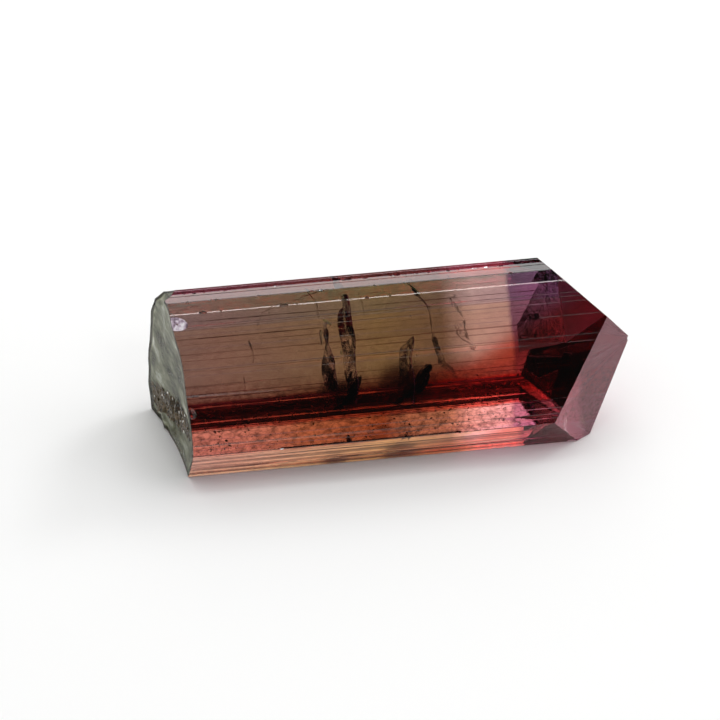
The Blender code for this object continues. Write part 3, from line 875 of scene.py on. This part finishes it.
# --- The film on the point ------------------------------------------------------------------
# The faces of the point grew last and are lightly etched, which makes them matt. The
# narrow front face is matter than the others, and pinker towards the main face.
point_skin = skin_of("matt_point", 0.30, 0.40)
matt, tree, shader = new_material("matt_point")
shader.inputs["Roughness"].default_value = 0.5
shader.inputs["Specular IOR Level"].default_value = 0.4
shader.inputs["Alpha"].default_value = 0.42
place = object_place(tree)
across = worked_out_places(tree, "DOT_PRODUCT", place, (1.0, 0.25, 0.05))
across_span = ranged(tree, across, 7.0 * MM, 12.5 * MM)
matt_shift = worked_out(tree, "MULTIPLY_ADD", clouds(tree, place, 700.0, 4.0), 0.22, across_span)
matt_tone = toned(tree, matt_shift, [
    (0.20, (0.66, 0.27, 0.31)),
    (0.46, (0.54, 0.23, 0.27)),
    (0.52, (0.34, 0.16, 0.18)),
    (1.00, (0.36, 0.17, 0.20)),
])
tree.links.new(matt_tone, shader.inputs["Base Color"])
finish_skin(point_skin, matt)

# the other faces of the point carry a thinner crimson film
other_skin = skin_of("point_film", 0.02, 0.04)
thin_film, tree, shader = new_material("point_film")
shader.inputs["Roughness"].default_value = 0.35
shader.inputs["Alpha"].default_value = 0.18
crimson = toned(tree, clouds(tree, object_place(tree), 600.0, 4.0), [
    (0.40, (0.46, 0.035, 0.13)),
    (0.60, (0.72, 0.09, 0.24)),
])
tree.links.new(crimson, shader.inputs["Base Color"])
finish_skin(other_skin, thin_film)

# --- Grains on the broken end ---------------------------------------------------------------
# Brown grains of the bed rock still fill a rough hollow of the broken end. A few bright
# ones among them are painted glints. Dark grains line the rim of the break.
RIM_STEP = 0.10
RIM_INSET = 0.09


def grains(name, places, seed, sizes, finish):
    """Small lumps at the given places, joined into one piece."""
    rng = random.Random(seed)
    made = small_balls(name, len(places))
    for grain, spot in zip(made, places):
        size = rng.uniform(*sizes)
        turn = Matrix.Rotation(rng.uniform(0.0, 3.1), 4, "X")
        turn = turn @ Matrix.Rotation(rng.uniform(-0.5, 0.5), 4, "Z")
        shape = Matrix.Diagonal((size * 0.45 * MM, size * rng.uniform(0.7, 1.6) * MM, size * MM, 1.0))
        grain.data.transform(Matrix.Translation(spot) @ turn @ shape)
    joined = join_up(made)
    keep_in_box(joined)
    finish_piece(joined, finish)


rng = random.Random(21)
shape = bmesh.new()
shape.from_mesh(crystal.data)
wear_layer = shape.faces.layers.float["wear_and_shade"]
patch_places = []
glint_places = []
rim_places = []
for face in shape.faces:
    if 0.55 < face[wear_layer] < 0.65 and rng.random() < 0.7:
        patch_places.append(face.calc_center_median())
        if rng.random() < 0.05:
            glint_places.append(face.calc_center_median() - Vector((0.05, 0.0, 0.0)) * MM)
for edge in shape.edges:
    if len(edge.link_faces) != 2:
        continue
    first_wear, second_wear = (face[wear_layer] for face in edge.link_faces)
    if (0.45 < first_wear < 0.65) == (0.45 < second_wear < 0.65):
        continue
    steps = max(1, round(edge.calc_length() / (RIM_STEP * MM)))
    for step in range(steps):
        if rng.random() < 0.55:
            share = (step + 0.5) / steps
            spot = edge.verts[0].co.lerp(edge.verts[1].co, share)
            inwards = Vector((0.0, middle.y - spot.y, middle.z - spot.z)).normalized()
            rim_places.append(spot + inwards * RIM_INSET * MM)
shape.free()
brown = fleck_material("brown_grain", (0.16, 0.11, 0.06))
# the bright grains are painted glints
glassy = fleck_material("bright_grain_glint", (1.0, 0.97, 0.90))
dark_grain = fleck_material("dark_grains", (0.05, 0.045, 0.035))
grains("patch_grains", patch_places[::2], 22, (0.05, 0.14), brown)
grains("patch_specks", patch_places[1::2], 25, (0.04, 0.10), dark_grain)
grains("patch_glints", glint_places, 23, (0.06, 0.11), glassy)
grains("rim_dark_grains", rim_places, 24, (0.02, 0.045), dark_grain)

# --- The pearly chip -------------------------------------------------------------------------
# A shell-shaped chip was struck out of the main face beside the break. Splinters that
# are still half attached line it. The pearly look that the air between them gives is painted sheen.
shell = skin_of("pearly_shell", 0.70, 0.74)
pearly, tree, shader = new_material("pearly_crack")
shader.inputs["Roughness"].default_value = 0.3
pearly_sheen_tone = toned(tree, clouds(tree, object_place(tree), 2600.0, 3.0), [
    (0.38, (0.10, 0.06, 0.08)),
    (0.46, (0.50, 0.38, 0.48)),
    (0.60, (1.0, 0.96, 1.0)),
])
tree.links.new(pearly_sheen_tone, shader.inputs["Base Color"])
finish_skin(shell, pearly)

bpy.data.objects.remove(inner)

# --- The floor ---------------------------------------------------------------------------
# A plain white sheet under the crystal. It lies a hair below the base, as paper does
# under a stone that touches it at a few points only.
FLOOR_DROP = 0.03
bpy.ops.object.select_all(action="DESELECT")
bpy.ops.mesh.primitive_plane_add(size=4.0, location=(0.0, 0.0, -FLOOR_DROP * MM))
floor = bpy.context.object
floor.name = "floor"
paper, tree, shader = new_material("floor_paper")
shader.inputs["Base Color"].default_value = (0.94, 0.94, 0.935, 1.0)
shader.inputs["Roughness"].default_value = 1.0
shader.inputs["Specular IOR Level"].default_value = 0.0
floor.data.materials.append(paper)

# --- Light ---------------------------------------------------------------------------------
# A pale studio with soft boxes. The room has two dim patches, one in front and high up
# and one low down behind the crystal. They stay where they are, and what the clear body
# mirrors or bends towards them shows dark.
world = bpy.data.worlds.new("studio")
bpy.context.scene.world = world
world.use_nodes = True
room = world.node_tree
background = room.nodes["Background"]
background.inputs["Color"].default_value = (1.0, 1.0, 1.0, 1.0)
direction = room.nodes.new("ShaderNodeTexCoord").outputs["Generated"]


def dim_patch(toward, dark_angle, bright_angle, darkest):
    """Brightness of the room round one dim patch, with its two edges in degrees."""
    facing = worked_out_places(room, "DOT_PRODUCT", direction, toward)
    dark_edge = math.cos(math.radians(dark_angle))
    bright_edge = math.cos(math.radians(bright_angle))
    return ranged(room, facing, dark_edge, bright_edge, darkest, 1.0, smooth=True)


high_front = dim_patch((0.153, -0.715, 0.682), 19.0, 34.0, 0.04)
low_behind = dim_patch((0.153, 0.972, 0.179), 4.0, 8.5, 0.02)
slope = worked_out_places(room, "DOT_PRODUCT", direction, (0.38, 0.0, 0.20))
lift = worked_out(room, "ADD", slope, 0.68)
room_light = worked_out(room, "MULTIPLY", lift, worked_out(room, "MULTIPLY", low_behind, high_front))
seen_directly = room.nodes.new("ShaderNodeLightPath").outputs["Is Camera Ray"]
room.links.new(mixed_value(room, seen_directly, room_light, 1.0), background.inputs["Strength"])


def soft_box(name, place, size, radiance):
    """A square lamp that faces the crystal."""
    light = bpy.data.lights.new(name, "AREA")
    light.shape = "SQUARE"
    light.size = size
    light.energy = radiance * math.pi * size * size
    holder = bpy.data.objects.new(name, light)
    bpy.context.scene.collection.objects.link(holder)
    holder.location = place
    holder.rotation_euler = (-Vector(place)).to_track_quat("-Z", "Y").to_euler()


soft_box("key_light", (0.054, -0.25, 0.238), 0.07, 7.0)
soft_box("top_light", (0.04, 0.24, 0.40), 0.32, 1.7)
soft_box("back_light", (0.07, 0.39, 0.225), 0.16, 1.6)
soft_box("side_light", (0.30, 0.26, 0.30), 0.14, 8.0)

# --- Camera --------------------------------------------------------------------------------
# A long lens looks down at the main face from the front and a little to the left, so
# the long edges stay nearly parallel.
AZIMUTH = math.radians(-10.4)
ELEVATION = math.radians(30.0)
DISTANCE = 0.38567
LIGHT_BOUNCES = 24
back = Vector((
    math.sin(AZIMUTH) * math.cos(ELEVATION),
    -math.cos(AZIMUTH) * math.cos(ELEVATION),
    math.sin(ELEVATION),
))
right = Vector((math.cos(AZIMUTH), math.sin(AZIMUTH), 0.0))
up = back.cross(right)
target = Vector((-2.0528, -1.5912, 4.8179)) * MM + up * 0.15 * MM - right * 0.10 * MM
camera_data = bpy.data.cameras.new("camera")
camera_data.lens = 350.0
camera_data.sensor_width = 36.0
camera_data.clip_start = 0.001
camera = bpy.data.objects.new("camera", camera_data)
bpy.context.scene.collection.objects.link(camera)
camera.location = target + back * DISTANCE
camera.rotation_euler = Matrix((right, up, back)).transposed().to_euler()
bpy.context.scene.camera = camera
bpy.context.scene.view_settings.view_transform = "Standard"
bpy.context.scene.cycles.max_bounces = LIGHT_BOUNCES
bpy.context.scene.cycles.transmission_bounces = LIGHT_BOUNCES
bpy.context.scene.cycles.glossy_bounces = LIGHT_BOUNCES
bpy.context.scene.cycles.transparent_max_bounces = LIGHT_BOUNCES
bpy.context.scene.cycles.diffuse_bounces = 4
